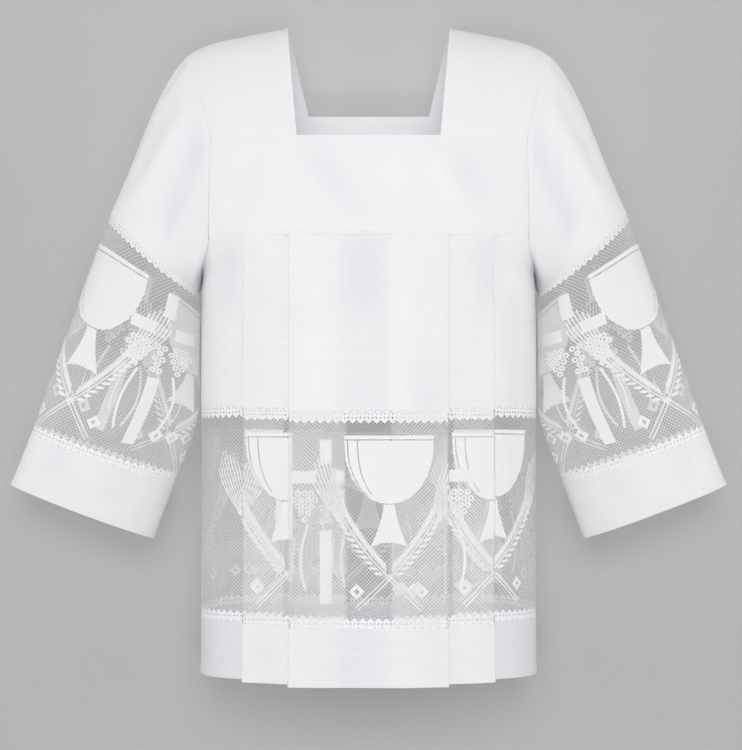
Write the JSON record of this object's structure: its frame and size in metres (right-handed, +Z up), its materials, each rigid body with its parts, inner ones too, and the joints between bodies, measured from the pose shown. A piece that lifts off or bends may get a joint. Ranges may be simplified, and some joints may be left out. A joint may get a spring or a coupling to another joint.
{
  "type": "surplice",
  "caption": "Worn white surplice with a square neck, pleated skirt, wide sleeves and bands of figured lace above plain hems.",
  "frame": {"origin": "where the wearer's shoulders carry it: on the centre line, level with the neck's highest edge", "axes": "+X to the right of someone who looks at the front, +Y from front to back, +Z up"},
  "size_m": [0.93, 0.2711, 0.8365],
  "materials": {
    "cloth": "matte fine ribbed weave",
    "lace": "matte figured net"
  },
  "bodies": {
    "root": {"yoke_front": "cloth", "yoke_back": "cloth", "shoulder_left": "cloth", "shoulder_right": "cloth", "skirt_front": "cloth", "skirt_back": "cloth", "lace_front": "lace", "lace_back": "lace", "hem_front": "cloth", "hem_back": "cloth", "sleeve_left": "cloth", "sleeve_right": "cloth", "sleeve_lace_left": "lace", "sleeve_lace_right": "lace", "cuff_left": "cloth", "cuff_right": "cloth"}
  },
  "joints": []
}
